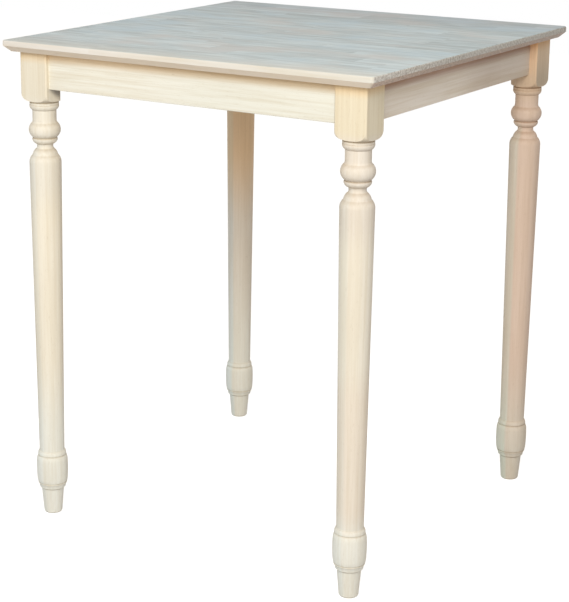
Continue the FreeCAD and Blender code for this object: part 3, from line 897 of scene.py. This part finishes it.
# How much wider than a bolt the bores are, on either side
WASHER_PLAY = 0.5 * MM
NUT_PLAY = 0.15 * MM
# A cross recess: half the length and width of its arms as shares of the head's radius, what is
# left of them at its floor, and its depth as a share of the head's height
RECESS_ARM = (0.58, 0.13)
RECESS_FLOOR = (0.35, 0.6)
RECESS_DEPTH = 0.75


def threaded(mesh_data, low, high, radius, pitch, depth, segments, taper=0.0):
    """A threaded rod between two heights: the skin winds between crest and root radius."""
    rows = []
    count = max(2, int((high - low) / pitch * ROWS_PER_TURN))
    for index in range(count + 1):
        height = low + (high - low) * index / count
        fade = min(1.0, (height - low) / taper) if taper else 1.0
        places = []
        for step in range(segments):
            phase = (height / pitch - step / segments) % 1.0
            reach = (radius - depth * abs(2 * phase - 1)) * fade
            places.append((max(POINT_RADIUS, reach), height))
        rows.append(ring(mesh_data, places))
    bridge_rows(mesh_data, rows)
    return rows


def hanger_bolt(sizes):
    """Wood thread and point in the leg, machine thread outside it."""
    mesh_data = bmesh.new()
    radius = sizes.bolt / 2
    tail = (sizes.block_gap + sizes.block_thickness + sizes.washer_thickness + sizes.nut_height
            + sizes.bolt_tail)
    lag = threaded(mesh_data, -sizes.bolt_lag, LAG_END, radius, sizes.lag_pitch, LAG_DEPTH,
                   BOLT_SEGMENTS, taper=LAG_POINT)
    machine = threaded(mesh_data, MACHINE_START, tail - BOLT_CHAMFER, radius,
                       sizes.bolt_pitch, MACHINE_DEPTH, BOLT_SEGMENTS)
    bridge_rows(mesh_data, [lag[-1], machine[0]])
    cap_row(mesh_data, lag[0], (0, 0, -sizes.bolt_lag))
    end = ring(mesh_data, [(0.78 * radius, tail)] * BOLT_SEGMENTS)
    bridge_rows(mesh_data, [machine[-1], end])
    cap_row(mesh_data, end, (0, 0, tail))
    return skin("hanger_bolt_pattern", mesh_data)


def pierced(name, places_of_rows):
    """A fastener with a bore, whose rows close on themselves."""
    mesh_data = bmesh.new()
    rows = [ring(mesh_data, places) for places in places_of_rows]
    bridge_rows(mesh_data, rows + rows[:1])
    return skin(name, mesh_data)


def flat_washer(sizes):
    """A pressed washer with slightly rounded edges."""
    outer = sizes.washer / 2
    inner = sizes.bolt / 2 + WASHER_PLAY
    thick = sizes.washer_thickness
    edge = 0.25 * MM
    profile = ((inner, 0), (outer - edge, 0), (outer, edge), (outer, thick - edge),
               (outer - edge, thick), (inner + edge, thick), (inner, thick - edge))
    return pierced("washer_pattern", [[place] * WASHER_SEGMENTS for place in profile])


def hexagon_nut(sizes):
    """A hexagon nut: its corners are chamfered and its bore is open."""
    across = sizes.nut / 2
    face = 0.97 * across
    bore = sizes.bolt / 2 + NUT_PLAY
    height = sizes.nut_height
    columns = []
    for step in range(NUT_SEGMENTS):
        sector = (TAU * step / NUT_SEGMENTS) % (TAU / 6) - TAU / 12
        corner = across / math.cos(sector)
        fall = 0.55 * (corner - face)
        columns.append(((bore, 0.0), (face, 0.0), (corner, fall), (corner, height - fall),
                        (face, height), (bore, height)))
    return pierced("nut_pattern", zip(*columns))


def cross_recess(screw, sizes, head_top, head_reach):
    """Cuts a cross recess into the head of a screw pattern."""
    cutter_data = bmesh.new()
    long_half, short_half = [share * head_reach for share in RECESS_ARM]
    depth = RECESS_DEPTH * sizes.screw_head_height
    for turned in (False, True):
        low, high = [], []
        for x_side, y_side in ((-1, -1), (1, -1), (1, 1), (-1, 1)):
            x, y = x_side * long_half, y_side * short_half
            x_low, y_low = x * RECESS_FLOOR[0], y * RECESS_FLOOR[1]
            if turned:
                x, y, x_low, y_low = -y, x, -y_low, x_low
            low.append(cutter_data.verts.new((x_low, y_low, head_top - depth)))
            high.append(cutter_data.verts.new((x, y, head_top + 0.5 * MM)))
        bridge_rows(cutter_data, [low, high])
        cutter_data.faces.new(list(reversed(low)))
        cutter_data.faces.new(high)
    cutter = skin("recess_cutter", cutter_data)
    modifier = screw.modifiers.new("recess", "BOOLEAN")
    modifier.object = cutter
    modifier.solver = "EXACT"
    modifier.use_self = True
    mesh = evaluated_mesh(screw)
    screw.modifiers.clear()
    screw.data = mesh
    smooth_below(mesh, METAL_SMOOTHNESS)
    bpy.data.objects.remove(cutter)
    return screw


def wood_screw(name, length_of_screw, sizes, countersunk):
    """A wood screw with its thread and cross recess; the seat of its head is at the origin."""
    mesh_data = bmesh.new()
    head = sizes.screw_head / 2
    tall = sizes.screw_head_height
    thread = threaded(mesh_data, -length_of_screw, -tall if countersunk else 0.0,
                      sizes.screw / 2, sizes.screw_pitch, SCREW_DEPTH, SCREW_SEGMENTS,
                      taper=sizes.screw_point)
    cap_row(mesh_data, thread[0], (0, 0, -length_of_screw))
    if countersunk:
        shape = [(head - 0.15 * MM, -0.25 * MM), (head - 0.15 * MM, 0.0)]
    else:
        shape = [(head, 0.0), (head, 0.5 * tall), (0.85 * head, 0.85 * tall), (0.6 * head, tall)]
    head_top = shape[-1][1]
    rows = [ring(mesh_data, [place] * SCREW_SEGMENTS) for place in shape]
    bridge_rows(mesh_data, [thread[-1]] + rows)
    cap_row(mesh_data, rows[-1], (0, 0, head_top))
    return cross_recess(skin(name, mesh_data), sizes, head_top, head)


def fastener_tree():
    """Geometry nodes that set one fastener on every point, along the point's own direction."""
    tree = bpy.data.node_groups.new("fasteners_on_points", "GeometryNodeTree")
    kinds = {"Points": "Geometry", "Fastener": "Object", "Size": "Float", "Turn seed": "Int",
             "Finish": "Material"}
    for name, kind in kinds.items():
        tree.interface.new_socket(name=name, in_out="INPUT", socket_type="NodeSocket" + kind)
    tree.interface.new_socket(name="Fasteners", in_out="OUTPUT", socket_type="NodeSocketGeometry")
    add = partial(node, tree)
    given = {name: add("NodeGroup", "Input", out=name) for name in kinds}
    fastener = add("GeometryNode", "ObjectInfo", given["Fastener"], out="Geometry",
                   transform_space="ORIGINAL")
    aim = add("GeometryNode", "InputNamedAttribute", "aim", data_type="FLOAT_VECTOR")
    aligned = add("FunctionNode", "AlignRotationToVector", links={"Vector": aim}, axis="Z")
    turn = add("FunctionNode", "RandomValue", 0.0, TAU, links={"Seed": given["Turn seed"]},
               data_type="FLOAT")
    spin = add("FunctionNode", "AxisAngleToRotation", (0.0, 0.0, 1.0), turn)
    rotation = add("FunctionNode", "RotateRotation", aligned, spin, rotation_space="LOCAL")
    placed = add("GeometryNode", "InstanceOnPoints", given["Points"],
                 links={"Instance": fastener, "Rotation": rotation, "Scale": given["Size"]})
    real = add("GeometryNode", "RealizeInstances", placed)
    done = add("GeometryNode", "SetMaterial", real, links={"Material": given["Finish"]})
    add("NodeGroup", "Output", done)
    return tree


def set_fasteners(name, fastener, places, tree, finish, cad_node, seed):
    """A group of like fasteners as one plain mesh, made by the geometry nodes."""
    points = bpy.data.meshes.new(name + "_points")
    points.from_pydata([place for place, direction in places], [], [])
    aim = points.attributes.new("aim", "FLOAT_VECTOR", "POINT")
    for index, (place, direction) in enumerate(places):
        aim.data[index].vector = direction
    host = place_object(name + "_host", points)
    modifier = host.modifiers.new("fasteners", "NODES")
    modifier.node_group = tree
    values = {"Fastener": fastener, "Size": 1.0, "Turn seed": seed, "Finish": finish}
    for item in tree.interface.items_tree:
        if item.in_out == "INPUT" and item.name in values:
            modifier[item.identifier] = values[item.name]
    mesh = evaluated_mesh(host)
    mesh.name = name
    bpy.data.objects.remove(host)
    obj = place_object(name, mesh)
    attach(obj, "root")
    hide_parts(cad_node)


def mirrored(places):
    """Places and directions of the back right-hand corner, repeated at all four."""
    sides = [Vector((x_side, y_side, 1)) for x_side, y_side in CORNERS.values()]
    return [(side * place, side * direction) for side in sides for place, direction in places]


def block_screw_places(sizes, block_face, block_back):
    """Head places and directions of the screws through one corner block."""
    places = []
    face_total = block_face.x + block_face.y
    back_total = block_back.x + block_back.y
    depth = (face_total - back_total) / 2
    for inner, outward in ((sizes.apron_side, Vector((1, 0, 0))),
                           (sizes.apron_front, Vector((0, 1, 0)))):
        middle_across = (face_total + back_total) / 2 - inner
        for side in (-1, 1):
            place = (outward * (inner - depth + sizes.block_screw_sink)
                     + outward.yxz * middle_across)
            place.z = sizes.block_middle + side * sizes.block_screw_spacing / 2
            places.append((place, -outward))
    return places


def pocket_places(sizes, top):
    """Seats and directions of the pocket screws in all four aprons."""
    lean = Vector((0.0, math.sin(sizes.pocket_angle), -math.cos(sizes.pocket_angle)))
    below = sizes.pocket_screw - sizes.pocket_bite
    width = top.side / top.stave_count
    places = []
    for staves_from_middle in (-3.5, -1.5, 1.5, 3.5):
        for side in (-1, 1):
            for inner, side_apron in ((sizes.apron_front, False), (sizes.apron_side, True)):
                pair = [Vector((staves_from_middle * width, -inner - sizes.apron_thickness / 2,
                                underside(top))) + lean * below, lean]
                mirror = Vector((1, side, 1))
                if side_apron:
                    pair = [Vector((-arrow.y, arrow.x, arrow.z)) for arrow in pair]
                    mirror = mirror.yxz
                places.append([mirror * arrow for arrow in pair])
    return places


class TABLE_OT_fasteners(bpy.types.Operator):
    """Sets the hanger bolts, washers, nuts and wood screws"""
    bl_idname = "table.fasteners"
    bl_label = "Bolts and screws"

    def execute(self, context):
        scene = context.scene
        sizes, legs = scene.table_fasteners, scene.table_legs
        finish = zinc_steel(scene.table_finishes)
        tree = fastener_tree()
        diagonal = Vector((-1.0, -1.0, 0.0)).normalized()
        cut_reach = legs.centre - (legs.square - legs.corner_cut) / 2
        leg_face = Vector((cut_reach, cut_reach, sizes.block_middle))
        block_face = leg_face + diagonal * sizes.block_gap
        block_back = block_face + diagonal * sizes.block_thickness
        nut_seat = block_back + diagonal * sizes.washer_thickness
        rises = [Vector((0, 0, side * sizes.bolt_spacing / 2)) for side in (-1, 1)]
        on_leg, on_block, on_washer = [mirrored([(seat + rise, diagonal) for rise in rises])
                                       for seat in (leg_face, block_back, nut_seat)]
        on_corner = mirrored(block_screw_places(sizes, block_face, block_back))
        on_aprons = pocket_places(sizes, scene.table_top)
        block_screw = wood_screw("block_screw_pattern", sizes.block_screw, sizes, True)
        pocket_screw = wood_screw("pocket_screw_pattern", sizes.pocket_screw, sizes, False)
        for name, pattern, places, cad_node, seed in (
                ("hanger_bolt_set", hanger_bolt(sizes), on_leg, "hanger_bolts", 3),
                ("washer_set", flat_washer(sizes), on_block, "hanger_washers", 5),
                ("nut_set", hexagon_nut(sizes), on_washer, "hanger_nuts", 7),
                ("block_screw_set", block_screw, on_corner, "corner_block_screws", 9),
                ("pocket_screw_set", pocket_screw, on_aprons, "top_screws", 11)):
            set_fasteners(name, pattern, places, tree, finish, cad_node, seed)
            bpy.data.objects.remove(pattern)
        return {"FINISHED"}


# The stage

FLOOR_REACH = 6.0
FLOOR_LEVEL = -0.5 * MM
FLOOR_GLOW = 0.62
KEY_PLACE = (1.2, -2.6, 2.2)
KEY_TARGET = (0.0, 0.0, 0.6)
KEY_SIZE = 1.8


def seen_behind(add):
    """1 for the rays that show what is behind the table: straight, in gloss or through glass."""
    seen = add("LightPath", out="Is Camera Ray")
    for ray in ("Is Glossy Ray", "Is Transmission Ray"):
        seen = add("Math", seen, add("LightPath", out=ray), operation="MAXIMUM")
    return seen


def stage_floor():
    """A pale floor that reads as white to the camera and keeps the table's shadow."""
    material, add = new_material("matt_white_floor")
    glow = add("Emission", (1, 1, 1), FLOOR_GLOW)
    shown = add("AddShader", add("BsdfDiffuse", linear("F7F7F7")), glow)
    thrown = add("BsdfDiffuse", linear("CDCFD3"))
    add("OutputMaterial", add("MixShader", seen_behind(add), thrown, shown))
    mesh = bpy.data.meshes.new("floor")
    mesh.from_pydata([(x * FLOOR_REACH, y * FLOOR_REACH, FLOOR_LEVEL)
                      for x, y in ((-1, -1), (1, -1), (1, 1), (-1, 1))], [], [(0, 1, 2, 3)])
    mesh.materials.append(material)
    floor = place_object("floor", mesh)


def stage_world(strength):
    """Even light from all round, seen as plain white."""
    world = bpy.data.worlds.new("white_studio")
    world.use_nodes = True
    world.node_tree.nodes.clear()
    add = partial(node, world.node_tree, "ShaderNode")
    even = add("Background", linear("FFFAF4"), strength)
    white = add("Background", (1, 1, 1), 1.0)
    add("OutputWorld", add("MixShader", seen_behind(add), even, white))
    bpy.context.scene.world = world


def key_lamp(power):
    """A large soft lamp high in front of the table."""
    lamp = bpy.data.lights.new("key", "AREA")
    lamp.shape = "DISK"
    lamp.size = KEY_SIZE
    lamp.energy = power
    lamp.color = linear("FFFDF8")[:3]
    obj = place_object("key", lamp)
    obj.location = KEY_PLACE
    sight = Vector(KEY_TARGET) - Vector(KEY_PLACE)
    obj.rotation_euler = sight.to_track_quat("-Z", "Y").to_euler()


def stage_camera(settings):
    """The camera at the photograph's place."""
    camera = bpy.data.cameras.new("camera")
    camera.lens = settings.lens
    camera.sensor_width = 36.0
    camera.shift_x = settings.shift_x
    camera.shift_y = settings.shift_y
    camera.clip_end = 50.0
    obj = place_object("camera", camera)
    turn = Matrix.Rotation(settings.azimuth, 4, "Z")
    tilt = Matrix.Rotation(math.pi / 2 - settings.elevation, 4, "X")
    roll = Matrix.Rotation(settings.roll, 4, "Z")
    obj.matrix_world = Matrix.Translation(settings.position) @ turn @ tilt @ roll
    bpy.context.scene.camera = obj


class TABLE_OT_stage(bpy.types.Operator):
    """Sets the floor, the light and the camera"""
    bl_idname = "table.stage"
    bl_label = "Stage"

    def execute(self, context):
        settings = context.scene.table_stage
        stage_floor()
        stage_world(settings.world)
        key_lamp(settings.key)
        stage_camera(settings)
        context.scene.view_settings.view_transform = "Standard"
        return {"FINISHED"}


class TABLE_PT_sidebar(bpy.types.Panel):
    """Lists the settings and the steps that build the table"""
    bl_label = "Counter Height Table"
    bl_idname = "TABLE_PT_sidebar"
    bl_space_type = "VIEW_3D"
    bl_region_type = "UI"
    bl_category = "Table"

    def draw(self, context):
        for name in GROUPS:
            group = getattr(context.scene, name)
            box = self.layout.box()
            for setting in group.__annotations__:
                box.prop(group, setting)
        for operator in OPERATORS:
            self.layout.operator(operator.bl_idname)


GROUPS = {"table_top": TableTopSizes, "table_legs": LegSizes, "table_fasteners": FastenerSizes,
          "table_finishes": Finishes, "table_stage": StageSettings}
OPERATORS = (TABLE_OT_legs, TABLE_OT_top, TABLE_OT_aprons, TABLE_OT_fasteners, TABLE_OT_stage)


def register():
    for name, group in GROUPS.items():
        bpy.utils.register_class(group)
        setattr(bpy.types.Scene, name, bpy.props.PointerProperty(type=group))
    for cls in OPERATORS + (TABLE_PT_sidebar,):
        bpy.utils.register_class(cls)


def unregister():
    for cls in (TABLE_PT_sidebar,) + tuple(reversed(OPERATORS)):
        bpy.utils.unregister_class(cls)
    for name, group in GROUPS.items():
        delattr(bpy.types.Scene, name)
        bpy.utils.unregister_class(group)


def main():
    register()
    bpy.ops.table.legs()
    bpy.ops.table.top()
    bpy.ops.table.aprons()
    bpy.ops.table.fasteners()
    bpy.ops.table.stage()


if __name__ == "__main__":
    main()
